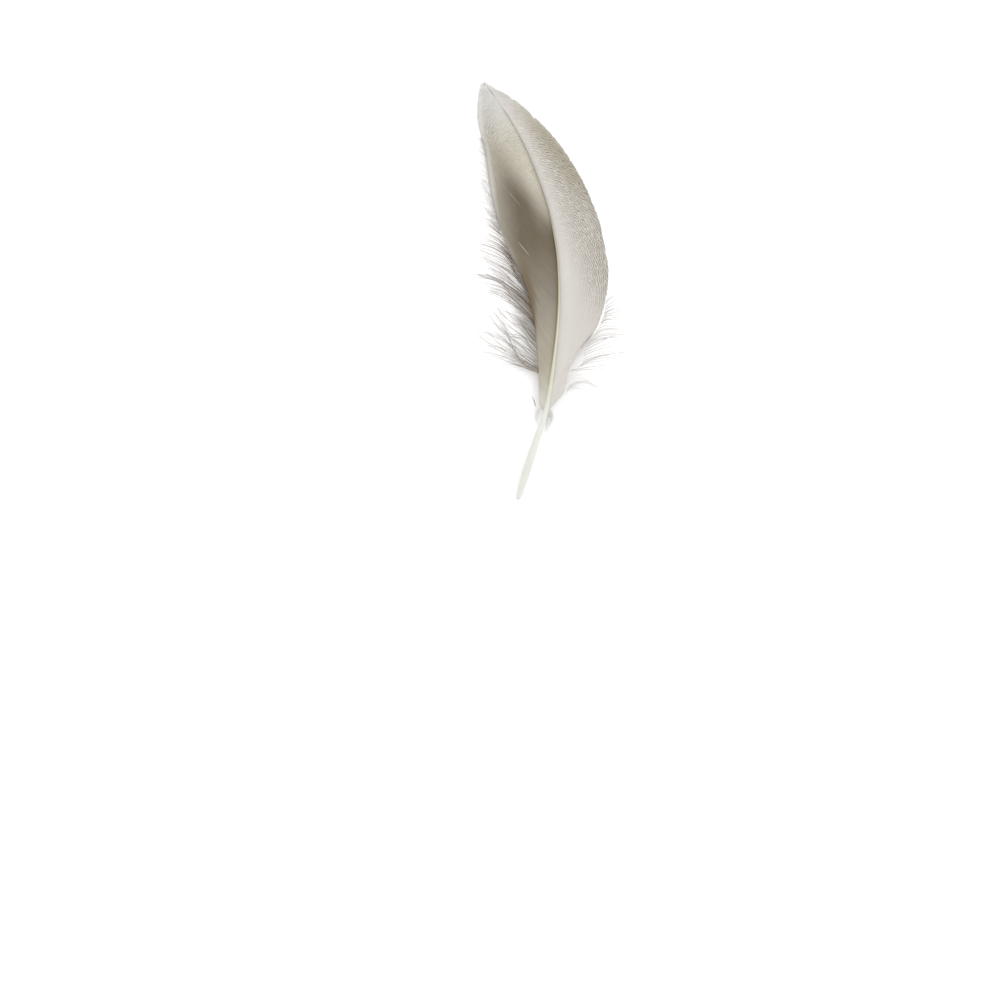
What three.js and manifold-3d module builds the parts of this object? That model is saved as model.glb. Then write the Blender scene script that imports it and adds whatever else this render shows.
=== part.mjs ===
// A duck's flank feather, lying convex side up on a flat surface.
// Millimetres. +Y runs from the quill to the tip, +X towards the broad vane, +Z up.
// The origin is on the surface, under the middle of the feather's box.

import * as THREE from 'three';
import { mergeVertices } from 'three/addons/utils/BufferGeometryUtils.js';
import Module from 'manifold-3d';

// Shaft: its course seen from above, and its width at distances from the quill's end.
const shaftCourse = [
  [-6.1, -39.8], [-5, -36.1], [-3.8, -32.3], [-2.6, -28.5], [-1.3, -24.7], [-0.4, -20.9],
  [0.2, -17.1], [0.9, -11.4], [1.4, -6.1], [1.6, -0.9], [1.4, 4.8], [0.8, 9.5], [-0.4, 15.2],
  [-2.3, 20.9], [-4.6, 26.6], [-7.4, 31.9], [-10.7, 36.9],
];
const shaftWidths = [
  [0, 0.7], [1.2, 1.0], [5, 1.5], [10, 1.45], [18, 0.95], [23, 0.76], [30, 0.5], [46, 0.38], [81, 0.2],
];
const shaftSides = 8;
const shaftSteps = 36;
const slopeReach = 0.5;

// The feather arches from the quill's end to the tip, along this length seen from above.
const archHeight = 3.4;
const archLength = 84;

// Vanes: a thin web of barbs. Each guide barb has the distance of its root from the quill's end,
// the place of its tip, and the share of its length that is zipped into the web. A nick in the
// margin has its place along the vane and its depth as a share of the barb.
const vaneThickness = { root: 0.34, margin: 0.2 };
const vaneColumns = 5;
const columnCrowding = 1.35;
const flatShare = 0.14;
const camberPower = 1.7;
const shaftProud = 0.15;
const barbBow = 0.05;
const barbRelief = 0.05;
const marginTeeth = 0.12;
const rootOverlap = 0.1;
const smallestEdge = 0.008;

const broadVane = {
  side: 1,
  rows: 56,
  guides: [
    [18.0, 10.4, -1.9, 1], [22.6, 11, 1.9, 1], [27.1, 11.1, 4.2, 1], [31.3, 10.6, 7.6, 1],
    [36.4, 10, 10.4, 1], [40.8, 9.3, 13.5, 1], [47.4, 7.2, 18.8, 1], [54.2, 5, 23.0, 1],
    [60.1, 1.6, 28.1, 1], [66.2, -2.5, 32.5, 1], [72.6, -7.2, 36.6, 1], [77.0, -10.7, 38.5, 1],
    [80.0, -12.7, 39.7, 1],
  ],
  nicks: [[0.76, 0.1], [0.835, 0.12]],
};
const narrowVane = {
  side: -1,
  rows: 56,
  guides: [
    [18.2, -2.3, -20.0, 0.3], [20.7, -2.2, -16.7, 0.3], [25.5, -2.5, -10.8, 0.32],
    [29.3, -3.2, -4.8, 0.38], [33.2, -5.3, 2.1, 0.5], [35.4, -8.6, 8.0, 0.75],
    [37.9, -11.8, 16.3, 1], [43.6, -12.7, 21.8, 1], [49.4, -13.3, 26.6, 1], [58.1, -13.5, 31.0, 1],
    [64.2, -13.8, 33.6, 1], [70.4, -13.7, 35.9, 1], [76.1, -13.1, 38.4, 1], [80.0, -12.3, 39.8, 1],
  ],
  nicks: [[0.63, 0.08]],
};

// Locks: bundles of barbs that have come loose. Each group starts along a line on a vane, given as
// [share along the vane, share out from the shaft], or on the shaft, given as distances from the
// quill's end. It ends along a line of tips, on the surface or at a landing share of its root's
// height, and leaves the feather in its lead's direction.
const lockSides = 3;
const lockSteps = 4;
const lockThickness = 0.32;
const lockLift = 0.09;
const lockDroop = 1.4;
const lockTaper = 0.16;
const leadShare = 0.45;

const paleHairs = {
  vane: narrowVane,
  count: 9,
  width: 0.45,
  starts: [[0.41, 0.97], [0.39, 0.95], [0.37, 0.93], [0.35, 0.92], [0.33, 0.92]],
  tips: [[-12.6, 14.1], [-12.6, 12.2], [-12.4, 9.5], [-13.5, 8.0], [-13.3, 5.7]],
  lead: [-0.56, 0.83],
};
const darkBrush = {
  vane: narrowVane,
  count: 11,
  width: 0.6,
  starts: [[0.31, 0.9], [0.28, 0.9], [0.25, 0.9], [0.23, 0.9]],
  tips: [[-13.5, 5.3], [-15, 3.8], [-14.3, 2.1], [-13.1, 0.2]],
  lead: [-0.6, 0.8],
};
const lowerFan = {
  vane: narrowVane,
  count: 13,
  width: 0.6,
  starts: [[0.22, 0.9], [0.195, 0.9], [0.17, 0.88], [0.145, 0.86], [0.115, 0.85], [0.08, 0.8]],
  tips: [[-12, -2.5], [-13.7, -4.6], [-13.9, -7.2], [-12.9, -9.5], [-11, -11.8], [-9.1, -15.4]],
  lead: [-0.62, 0.78],
};
const longWisps = {
  vane: narrowVane,
  count: 2,
  width: 0.4,
  starts: [[0.15, 0.85], [0.1, 0.85]],
  tips: [[-16.7, -9.6], [-16, -14.2]],
  lead: [-0.75, 0.66],
};
const sideDown = {
  vane: broadVane,
  count: 15,
  width: 0.5,
  starts: [[0.01, 0.93], [0.01, 0.85], [0.01, 0.77], [0.01, 0.68], [0.01, 0.56], [0.01, 0.42], [0.01, 0.3]],
  tips: [
    [12.9, -0.6], [13.7, -3.0], [14.4, -4.8], [15.3, -6.8], [16.7, -9.7], [15.2, -12.4], [12.5, -15.2],
  ],
  lead: [0.64, 0.77],
};
const lowDown = {
  vane: broadVane,
  count: 6,
  width: 0.7,
  starts: [[0.01, 0.27], [0.01, 0.2], [0.01, 0.12]],
  tips: [[11.4, -16.6], [13.4, -18.2], [7.4, -20.1]],
  lead: [0.87, 0.5],
};
const leftTuft = {
  count: 5,
  width: 1.1,
  landing: 0.5,
  starts: [[17.6, 0], [15.2, 0]],
  tips: [[-3.1, -22.4], [-2.8, -25.9]],
  lead: [-0.9, 0.3],
};
const rightTuft = {
  count: 5,
  width: 1.1,
  landing: 0.5,
  starts: [[17.0, 0], [14.6, 0]],
  tips: [[1.2, -23.2], [0.5, -26.8]],
  lead: [0.9, 0.3],
};
const lockGroups = [
  paleHairs, darkBrush, lowerFan, longWisps, sideDown, lowDown, leftTuft, rightTuft,
];

const wasm = await Module();
wasm.setup();

function smoothLine(points) {
  return new THREE.SplineCurve(points.map(([x, y]) => new THREE.Vector2(x, y)));
}

// Reads a list of [place, value] pairs at any place, straight between them.
function read(pairs, place) {
  const next = Math.max(1, pairs.findIndex(([at]) => at >= place));
  const [a, low] = pairs[next - 1];
  const [b, high] = pairs[next];
  return THREE.MathUtils.lerp(low, high, THREE.MathUtils.clamp((place - a) / (b - a), 0, 1));
}

// Moves each vertex of a unit shape to where place(x, y, z) puts it.
function bend(geometry, place) {
  const position = geometry.attributes.position;
  for (let i = 0; i < position.count; i += 1) {
    const moved = place(position.getX(i), position.getY(i), position.getZ(i));
    position.setXYZ(i, moved.x, moved.y, moved.z);
  }
  return geometry;
}

// Makes a closed solid of a geometry, without its triangles that have no area.
function solid(geometry) {
  geometry.deleteAttribute('normal');
  geometry.deleteAttribute('uv');
  const merged = mergeVertices(geometry, 1e-4);
  const corners = [];
  for (let i = 0; i < merged.index.count; i += 3) {
    const [a, b, c] = [merged.index.getX(i), merged.index.getX(i + 1), merged.index.getX(i + 2)];
    if (a !== b && b !== c && c !== a) {
      corners.push(a, b, c);
    }
  }
  return new wasm.Manifold(new wasm.Mesh({
    numProp: 3,
    vertProperties: new Float32Array(merged.attributes.position.array),
    triVerts: new Uint32Array(corners),
  }));
}

// Shaft
const shaftLine = smoothLine(shaftCourse);
const shaftLength = shaftLine.getLength();

function shaftWidth(distance) {
  return read(shaftWidths, distance);
}

function shaftCentre(distance) {
  const flat = shaftLine.getPointAt(THREE.MathUtils.clamp(distance / shaftLength, 0, 1));
  const arch = archHeight * Math.sin(Math.PI * distance / archLength);
  return new THREE.Vector3(flat.x, flat.y, arch + shaftWidth(distance) / 2);
}

function makeShaft() {
  const unit = new THREE.CylinderGeometry(1, 1, 1, shaftSides, shaftSteps);
  return bend(unit, (x, y, z) => {
    const distance = shaftLength * (y + 0.5);
    const centre = shaftCentre(distance);
    const ahead = shaftCentre(Math.min(shaftLength, distance + slopeReach));
    const behind = shaftCentre(Math.max(0, distance - slopeReach));
    const forward = ahead.sub(behind).normalize();
    const sideways = new THREE.Vector3(forward.y, -forward.x, 0).normalize();
    const radius = shaftWidth(distance) / 2;
    return centre.addScaledVector(sideways, x * radius).add(new THREE.Vector3(0, 0, z * radius));
  });
}

// Vanes
for (const vane of [broadVane, narrowVane]) {
  vane.roots = smoothLine(vane.guides.map(([root, , , zipped]) => [root, zipped]));
  vane.tips = smoothLine(vane.guides.map(([, x, y]) => [x, y]));
}

// The underside of a vane, at a share of the vane's length and a share of the barb's. A barb drops
// from the shaft to the surface, and its last part lies flat. The bow is deepest at its middle.
function underVane(vane, along, share) {
  const { x: root, y: zipped } = vane.roots.getPoint(along);
  const start = shaftCentre(root);
  const end = vane.tips.getPoint(along);
  const reach = new THREE.Vector2(end.x - start.x, end.y - start.y);
  const bow = 4 * barbBow * share * (1 - share) * vane.side;
  const drop = Math.min(1, Math.max(0, share) * Math.min(1, zipped) / (1 - flatShare));
  const rootHeight = start.z + shaftProud * shaftWidth(root) - vaneThickness.root;
  return new THREE.Vector3(
    start.x + reach.x * share + reach.y * bow,
    start.y + reach.y * share - reach.x * bow,
    Math.max(0, rootHeight * (1 - drop ** camberPower)),
  );
}

function barbLength(vane, along) {
  const start = shaftCentre(vane.roots.getPoint(along).x);
  const end = vane.tips.getPoint(along);
  return Math.hypot(end.x - start.x, end.y - start.y);
}

function makeVane(vane) {
  const unit = new THREE.BoxGeometry(1, 1, 1, vaneColumns, vane.rows, 1);
  return bend(unit, (x, y, z) => {
    const along = y + 0.5;
    const out = 1 - (0.5 - vane.side * x) ** columnCrowding;
    const odd = Math.round(along * vane.rows) % 2;
    const nick = vane.nicks.reduce((sum, [at, depth]) => (
      sum + depth * Math.max(0, 1 - Math.abs(along - at) * vane.rows)), 0);
    const trim = (rootOverlap * (1 - out) + odd * marginTeeth * out) / barbLength(vane, along);
    const point = underVane(vane, along, out * (1 - nick) - trim);
    const thickness = THREE.MathUtils.lerp(vaneThickness.root, vaneThickness.margin, out);
    point.z += z > 0 ? thickness + odd * barbRelief : 0;
    return point;
  });
}

// Locks: three-sided and flat underneath. A three-sided unit cylinder reaches from -0.5 to 1 in z.
function makeLock(group, index) {
  const turn = index / (group.count - 1);
  const [place, share] = smoothLine(group.starts).getPoint(turn).toArray();
  const root = group.vane ? underVane(group.vane, place, share) : shaftCentre(place);
  const start = new THREE.Vector2(root.x, root.y);
  const tip = smoothLine(group.tips).getPoint(turn);
  const lead = new THREE.Vector2(...group.lead).multiplyScalar(leadShare * start.distanceTo(tip));
  const path = new THREE.QuadraticBezierCurve(start, start.clone().add(lead), tip);
  const unit = new THREE.CylinderGeometry(1, 1, 1, lockSides, lockSteps);
  const landing = group.landing ?? 0;
  return bend(unit, (x, y, z) => {
    const along = y + 0.5;
    const centre = path.getPoint(along);
    const forward = path.getTangent(along);
    const scale = THREE.MathUtils.lerp(1, lockTaper, along);
    const floor = (root.z + lockLift) * THREE.MathUtils.lerp(landing, 1, (1 - along) ** lockDroop);
    return new THREE.Vector3(
      centre.x + forward.y * x * scale * group.width / 2,
      centre.y - forward.x * x * scale * group.width / 2,
      floor + (z + 0.5) / 1.5 * scale * lockThickness,
    );
  });
}

// The whole feather as one solid
const shaft = solid(makeShaft());
const vanes = [broadVane, narrowVane].map((vane) => solid(makeVane(vane)));
const locks = lockGroups.flatMap((group) => (
  Array.from({ length: group.count }, (_, index) => solid(makeLock(group, index)))));
const whole = wasm.Manifold.union([shaft, ...vanes, ...locks]).simplify(smallestEdge);
const faces = whole.getMesh();

const geometry = new THREE.BufferGeometry();
geometry.setAttribute('position', new THREE.BufferAttribute(faces.vertProperties, 3));
geometry.setIndex(new THREE.BufferAttribute(faces.triVerts, 1));
geometry.computeVertexNormals();

const keratin = new THREE.MeshStandardMaterial({ color: '#bdb5a6', roughness: 0.6, metalness: 0 });
const feather = new THREE.Mesh(geometry, keratin);
feather.name = 'feather';

const model = new THREE.Group();
model.add(feather);

export default model;
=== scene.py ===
# A duck's flank feather lying convex side up on a white surface, seen from straight above
import math

import bmesh
import bpy
import numpy as np
from mathutils import Matrix, Vector


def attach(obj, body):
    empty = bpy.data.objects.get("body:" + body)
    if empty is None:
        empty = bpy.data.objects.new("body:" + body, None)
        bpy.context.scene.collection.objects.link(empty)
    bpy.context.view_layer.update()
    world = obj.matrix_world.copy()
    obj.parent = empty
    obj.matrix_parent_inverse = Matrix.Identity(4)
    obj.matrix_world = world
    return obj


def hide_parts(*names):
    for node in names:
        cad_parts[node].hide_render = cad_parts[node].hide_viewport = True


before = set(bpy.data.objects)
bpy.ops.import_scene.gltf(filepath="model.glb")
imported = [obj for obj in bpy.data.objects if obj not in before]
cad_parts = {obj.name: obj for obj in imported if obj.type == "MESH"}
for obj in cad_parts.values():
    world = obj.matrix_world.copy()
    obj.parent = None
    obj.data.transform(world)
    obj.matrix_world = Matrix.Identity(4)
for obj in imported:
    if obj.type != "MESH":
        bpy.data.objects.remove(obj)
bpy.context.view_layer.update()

mm = 0.001
print("frame loaded")

camera = {
    "field": 190.0,  # mm across the picture
    "height": 620.0,
    "middle": (-9.52, -39.9),  # mm, what the picture is centred on
    "sensor": 36,
    "clip": (0.01, 20),  # m
}
light = {
    "world": 1.09,
    "worldColor": (0.99, 0.985, 0.985),
    "keyPower": 0.69,
    "keyColor": (1, 0.985, 0.96),
    "keySize": 0.5,  # m, as are the next two
    "keyPlace": (0.2, 0.16, 0.42),
    "floorSize": 3,
    "floor": (0.985, 0.985, 0.99),
}


def makeCamera():
    data = bpy.data.cameras.new("camera")
    data.sensor_width = camera["sensor"]
    data.lens = data.sensor_width * camera["height"] / camera["field"]
    data.clip_start, data.clip_end = camera["clip"]
    obj = bpy.data.objects.new("camera", data)
    obj.location = (camera["middle"][0] * mm, camera["middle"][1] * mm, camera["height"] * mm)
    bpy.context.scene.collection.objects.link(obj)
    bpy.context.scene.camera = obj


def makeStage():
    bm = bmesh.new()
    bmesh.ops.create_grid(bm, x_segments=1, y_segments=1, size=light["floorSize"])
    mesh = bpy.data.meshes.new("floor")
    bm.to_mesh(mesh)
    bm.free()
    floor = bpy.data.objects.new("floor", mesh)
    bpy.context.scene.collection.objects.link(floor)
    paper = bpy.data.materials.new("whitePaper")
    paper.use_nodes = True
    shader = paper.node_tree.nodes["Principled BSDF"]
    shader.inputs["Base Color"].default_value = (*light["floor"], 1)
    shader.inputs["Roughness"].default_value = 1
    shader.inputs["Specular IOR Level"].default_value = 0
    mesh.materials.append(paper)

    world = bpy.data.worlds.new("softWorld")
    world.use_nodes = True
    background = world.node_tree.nodes["Background"]
    background.inputs["Color"].default_value = (*light["worldColor"], 1)
    background.inputs["Strength"].default_value = light["world"]
    bpy.context.scene.world = world

    data = bpy.data.lights.new("key", "AREA")
    data.size = light["keySize"]
    data.energy = light["keyPower"]
    data.color = light["keyColor"]
    key = bpy.data.objects.new("key", data)
    key.location = light["keyPlace"]
    key.rotation_euler = (-Vector(light["keyPlace"])).to_track_quat("-Z", "Y").to_euler()
    bpy.context.scene.collection.objects.link(key)
    bpy.context.scene.view_settings.view_transform = "Standard"


makeCamera()
makeStage()
print("camera, floor and light")


# Nodes
# The light is strong enough to bleach the floor, so all other colours are this much darker
colorScale = 0.893


def srgb(red, green, blue):
    values = [c / 255 for c in (red, green, blue)]
    linear = [c / 12.92 if c <= 0.04045 else ((c + 0.055) / 1.055) ** 2.4 for c in values]
    return (*[c * colorScale for c in linear], 1)


def setInputs(tree, node, inputs):
    for name, value in inputs.items():
        if isinstance(value, bpy.types.NodeSocket):
            tree.links.new(value, node.inputs[name])
        else:
            node.inputs[name].default_value = value


def addNode(tree, kind, inputs=None, **settings):
    node = tree.nodes.new(kind)
    for name, value in settings.items():
        setattr(node, name, value)
    setInputs(tree, node, inputs or {})
    return node


def addMath(tree, operation, first, second=0.0):
    return addNode(tree, "ShaderNodeMath", {0: first, 1: second}, operation=operation).outputs[0]


def addMix(tree, share, first, second, blend="MIX"):
    inputs = {0: share, 6: first, 7: second}
    return addNode(tree, "ShaderNodeMix", inputs, data_type="RGBA", blend_type=blend).outputs[2]


def addStep(tree, value, low, high, toLow=0.0, toHigh=1.0):
    inputs = {"Value": value, "From Min": low, "From Max": high, "To Min": toLow, "To Max": toHigh}
    return addNode(tree, "ShaderNodeMapRange", inputs, interpolation_type="SMOOTHSTEP").outputs[0]


def addField(tree, name):
    return addNode(tree, "ShaderNodeAttribute", attribute_name=name).outputs["Fac"]


def newGroup(name, inputs, outputs):
    tree = bpy.data.node_groups.new(name, "ShaderNodeTree")
    for label, kind in inputs:
        tree.interface.new_socket(label, in_out="INPUT", socket_type="NodeSocket" + kind)
    for label, kind in outputs:
        tree.interface.new_socket(label, in_out="OUTPUT", socket_type="NodeSocket" + kind)
    return tree, tree.nodes.new("NodeGroupInput").outputs, tree.nodes.new("NodeGroupOutput").inputs


def useGroup(tree, group, inputs):
    return addNode(tree, "ShaderNodeGroup", inputs, node_tree=group).outputs


def newMaterial(name):
    material = bpy.data.materials.new(name)
    material.use_nodes = True
    return material, material.node_tree, material.node_tree.nodes["Principled BSDF"]


# Fine wavy lines across the barbs, as on a duck's flank. They follow arcs round a centre. All in mm.
def makeWavyLines():
    tree, inside, out = newGroup(
        "wavyLines", [("Map", "Vector"), ("Spacing", "Float"), ("Wander", "Float")], [("Line", "Float")]
    )
    # the wave texture repeats 20 / tau times in one unit
    scale = addMath(tree, "DIVIDE", math.tau / 20, inside["Spacing"])
    wave = addNode(tree, "ShaderNodeTexWave", {
        "Vector": inside["Map"], "Scale": scale, "Distortion": inside["Wander"],
        "Detail": 2.0, "Detail Scale": 1.15, "Detail Roughness": 0.5,
    }, wave_type="BANDS", bands_direction="X", wave_profile="SIN")
    patches = addNode(tree, "ShaderNodeTexNoise", {"Vector": inside["Map"], "Scale": 0.9, "Detail": 3.0})
    broken = addStep(tree, patches.outputs["Fac"], 0.3, 0.6, 0.5, 1.0)
    line = addStep(tree, wave.outputs["Fac"], 0.2, 0.7)
    tree.links.new(addMath(tree, "MULTIPLY", line, broken), out["Line"])
    return tree


# Barbules: fine slanting lines at both sides of each barb, as height
def makeBarbules():
    tree, inside, out = newGroup(
        "barbules", [("Map", "Vector"), ("Lines per mm", "Float")], [("Height", "Float")]
    )
    parts = addNode(tree, "ShaderNodeSeparateXYZ", {0: inside["Map"]}).outputs
    slant = addMath(tree, "MULTIPLY", addMath(tree, "ABSOLUTE", parts["Y"]), 0.16)
    turn = addMath(tree, "MULTIPLY", inside["Lines per mm"], math.tau)
    place = addMath(tree, "SUBTRACT", parts["X"], slant)
    wave = addMath(tree, "SINE", addMath(tree, "MULTIPLY", place, turn))
    tree.links.new(addMath(tree, "MULTIPLY", wave, 0.5), out["Height"])
    return tree


# Small changes of tone from barb to barb and in soft patches
def makeToneVariation():
    tree, inside, out = newGroup(
        "toneVariation", [("Color", "Color"), ("Chance", "Float"), ("Amount", "Float")], [("Color", "Color")]
    )
    place = addNode(tree, "ShaderNodeTexCoord").outputs["Object"]
    patches = addNode(tree, "ShaderNodeTexNoise", {"Vector": place, "Scale": 420.0, "Detail": 4.0})
    soft = addStep(tree, patches.outputs["Fac"], 0.3, 0.7, -0.25, 0.25)
    both = addMath(tree, "ADD", soft, addMath(tree, "SUBTRACT", inside["Chance"], 0.5))
    tone = addMath(tree, "ADD", addMath(tree, "MULTIPLY", both, inside["Amount"]), 1.0)
    scaled = addNode(tree, "ShaderNodeVectorMath", {0: inside["Color"], "Scale": tone}, operation="SCALE")
    tree.links.new(scaled.outputs[0], out["Color"])
    return tree


wavyLines = makeWavyLines()
barbules = makeBarbules()
toneVariation = makeToneVariation()

web = {
    "tip": srgb(213, 213, 209),
    "olive": srgb(154, 146, 119),
    "brown": srgb(106, 95, 77),
    # ridge: the colour of painted shade in the narrow web's fold, crease and curled edge
    "ridge": srgb(112, 97, 74),
    "line": srgb(134, 125, 110),
    # pale edges of the thin web, with painted light that lifts the shade at the margins and the tip
    "paleEdgeAndPaintedLight": srgb(240, 237, 234),
    "barbulesPerMm": 9.0,
    "barbuleHeight": 0.00002,  # m
    "barbuleBump": 0.35,
}
greyWeb = {
    "pale": srgb(212, 209, 202),
    "grey": srgb(205, 201, 195),
    "toneAmount": 0.035,
    "lineSpacing": 0.41,  # mm
    "lineWander": 9.0,
}
brownWeb = {
    "pale": srgb(208, 205, 193),
    "grey": srgb(205, 199, 182),
    "toneAmount": 0.1,
    "lineSpacing": 0.37,
    "lineWander": 14.0,
}


def makeWebMaterial(name, look):
    material, tree, shader = newMaterial(name)
    lineMap = addNode(tree, "ShaderNodeUVMap", uv_map="lineMap").outputs[0]
    barbuleMap = addNode(tree, "ShaderNodeUVMap", uv_map="barbuleMap").outputs[0]
    grey = addMix(tree, addField(tree, "grey"), look["pale"], look["grey"])
    grey = addMix(tree, addField(tree, "tipPale"), grey, web["tip"])
    grey = addMix(tree, addField(tree, "olive"), grey, web["olive"])
    line = useGroup(tree, wavyLines, {
        "Map": lineMap, "Spacing": look["lineSpacing"], "Wander": look["lineWander"],
    })["Line"]
    lined = addMix(tree, addMath(tree, "MULTIPLY", line, addField(tree, "pattern")), grey, web["line"])
    brown = addMix(tree, addField(tree, "dark"), lined, web["brown"])
    # painted shade along the fold, the crease and the curled edge
    brown = addMix(tree, addField(tree, "ridge"), brown, web["ridge"])
    # pale edges with painted light over the margins and the tip
    withPaleEdgeAndLight = addMix(tree, addField(tree, "paleEdgeAndPaintedLight"), brown, web["paleEdgeAndPaintedLight"])
    toned = useGroup(tree, toneVariation, {
        "Color": withPaleEdgeAndLight, "Chance": addField(tree, "chance"), "Amount": look["toneAmount"],
    })
    height = useGroup(tree, barbules, {"Map": barbuleMap, "Lines per mm": web["barbulesPerMm"]})["Height"]
    bump = addNode(tree, "ShaderNodeBump", {
        "Height": height, "Strength": web["barbuleBump"], "Distance": web["barbuleHeight"],
    })
    setInputs(tree, shader, {
        "Base Color": toned["Color"],
        "Normal": bump.outputs[0],
        "Roughness": addStep(tree, line, 0, 1, 0.5, 0.62),
        "Specular IOR Level": 0.35,
        "Sheen Weight": 0.08,
        "Sheen Roughness": 0.5,
    })
    return material


down = {
    "light": srgb(234, 232, 228),
    "brown": srgb(114, 95, 68),
    "tipLight": srgb(244, 243, 241),
    "tipAmount": 0.35,
    "toneAmount": 0.22,
}


def makeDownMaterial(name):
    material, tree, shader = newMaterial(name)
    base = addMix(tree, addField(tree, "dark"), down["light"], down["brown"])
    toTip = addMath(tree, "MULTIPLY", addField(tree, "toTip"), down["tipAmount"])
    base = addMix(tree, toTip, base, down["tipLight"])
    toned = useGroup(tree, toneVariation, {
        "Color": base, "Chance": addField(tree, "chance"), "Amount": down["toneAmount"],
    })
    setInputs(tree, shader, {
        "Base Color": toned["Color"],
        "Roughness": addStep(tree, addField(tree, "toTip"), 0, 1, 0.55, 0.75),
        "Specular IOR Level": 0.3,
        "Sheen Weight": 0.15,
        "Sheen Roughness": 0.4,
    })
    return material


horn = {
    "amber": srgb(146, 133, 100),
    "cream": srgb(206, 206, 179),
    "clear": srgb(223, 225, 216),
    # shine: the colour of the painted highlight on the shaft's right side
    "shine": srgb(226, 221, 203),
    "toneAmount": 0.1,
    "fibreScale": 9000.0,
    "fibreStretch": (1, 0.12, 1),
    "fibreHeight": 0.00003,  # m
    "fibreBump": 0.25,
}


def makeHornMaterial(name):
    material, tree, shader = newMaterial(name)
    # distance from the quill's end, in mm, and the place across from -1 to 1
    distance = addField(tree, "distance")
    side = addField(tree, "side")
    body = addMix(tree, addStep(tree, distance, 14, 27), horn["clear"], horn["cream"])
    body = addMix(tree, addStep(tree, distance, 26, 52, 0, 0.75), body, horn["amber"])
    # painted shade: the shaft's left side is darkened towards amber
    shaded = addMath(tree, "MULTIPLY", addStep(tree, side, 0.1, -0.8), addStep(tree, distance, 18, 40))
    body = addMix(tree, shaded, body, horn["amber"])
    # painted highlight: the shaft's right side is lightened towards the shine colour
    lit = addMath(tree, "MULTIPLY", addStep(tree, side, 0.0, 0.75, 0, 0.7), addStep(tree, distance, 60, 30))
    lit = addMath(tree, "MULTIPLY", lit, addStep(tree, distance, 18, 32))
    body = addMix(tree, lit, body, horn["shine"])
    place = addNode(tree, "ShaderNodeTexCoord").outputs["Object"]
    stretched = addNode(tree, "ShaderNodeMapping", {"Vector": place, "Scale": horn["fibreStretch"]})
    fibres = addNode(tree, "ShaderNodeTexNoise", {
        "Vector": stretched.outputs[0], "Scale": horn["fibreScale"], "Detail": 3.0,
    }).outputs["Fac"]
    toned = useGroup(tree, toneVariation, {"Color": body, "Chance": fibres, "Amount": horn["toneAmount"]})
    bump = addNode(tree, "ShaderNodeBump", {
        "Height": fibres, "Strength": horn["fibreBump"], "Distance": horn["fibreHeight"],
    })
    setInputs(tree, shader, {
        "Base Color": toned["Color"],
        "Normal": bump.outputs[0],
        "Roughness": addStep(tree, fibres, 0.2, 0.8, 0.28, 0.42),
        "Specular IOR Level": 0.55,
        "Coat Weight": 0.25,
        "Coat Roughness": 0.2,
    })
    return material


print("materials ready")


# The feather's form, in mm. Its course, widths, heights and thicknesses are the solid's.
shaftForm = {
    "course": [
        (-6.1, -39.8), (-5, -36.1), (-3.8, -32.3), (-2.6, -28.5), (-1.3, -24.7), (-0.4, -20.9),
        (0.2, -17.1), (0.9, -11.4), (1.4, -6.1), (1.6, -0.9), (1.4, 4.8), (0.8, 9.5), (-0.4, 15.2),
        (-2.3, 20.9), (-4.6, 26.6), (-7.4, 31.9), (-10.7, 36.9),
    ],
    # distance from the quill's end and width there
    "widths": [
        (0, 0.7), (1.2, 1), (5, 1.5), (10, 1.45), (18, 0.95), (23, 0.76), (30, 0.5), (46, 0.38), (81, 0.2),
    ],
    "archHeight": 3.4,
    "archLength": 84,
    "tableSize": 401,  # steps in which its length is measured
    "slopeReach": 0.3,  # how far either way its direction is read
}
vaneForm = {
    "rootThickness": 0.34,
    "marginThickness": 0.2,
    "flatShare": 0.14,
    "camberPower": 1.7,
    "shaftProud": 0.15,
    "barbBow": 0.05,
}


def smoothLine(points):
    # a smooth curve through the points, read at shares from 0 to 1 of their number
    knots = np.array(points, float)
    last = len(knots) - 1

    def at(share):
        place = np.clip(np.asarray(share, float), 0, 1) * last
        index = np.minimum(place.astype(int), last - 1)
        w = (place - index)[..., None]
        p0, p1, p2, p3 = (knots[np.clip(index + k, 0, last)] for k in (-1, 0, 1, 2))
        bend = (2 * p0 - 5 * p1 + 4 * p2 - p3) * w**2 + (3 * p1 - p0 - 3 * p2 + p3) * w**3
        return p1 + 0.5 * ((p2 - p0) * w + bend)

    return at


def smoothStep(low, high, value):
    share = np.clip((value - low) / (high - low), 0, 1)
    return share * share * (3 - 2 * share)


def unit(vectors):
    return vectors / np.maximum(np.linalg.norm(vectors, axis=-1, keepdims=True), 1e-12)


def toTheRight(forward):
    # level, and square to the way forward
    return unit(np.stack((forward[..., 1], -forward[..., 0], np.zeros(forward.shape[:-1])), axis=-1))


shaftLine = smoothLine(shaftForm["course"])
shaftShares = np.linspace(0, 1, shaftForm["tableSize"])
shaftPoints = shaftLine(shaftShares)
shaftDistances = np.concatenate(([0], np.cumsum(np.linalg.norm(np.diff(shaftPoints, axis=0), axis=1))))
shaftLength = shaftDistances[-1]


def shaftWidth(distance):
    places, widths = np.transpose(shaftForm["widths"])
    return np.interp(distance, places, widths)


def shaftCentre(distance):
    flat = shaftLine(np.interp(distance, shaftDistances, shaftShares))
    arch = shaftForm["archHeight"] * np.sin(np.pi * np.asarray(distance) / shaftForm["archLength"])
    return np.concatenate((flat, (arch + shaftWidth(distance) / 2)[..., None]), axis=-1)


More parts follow.
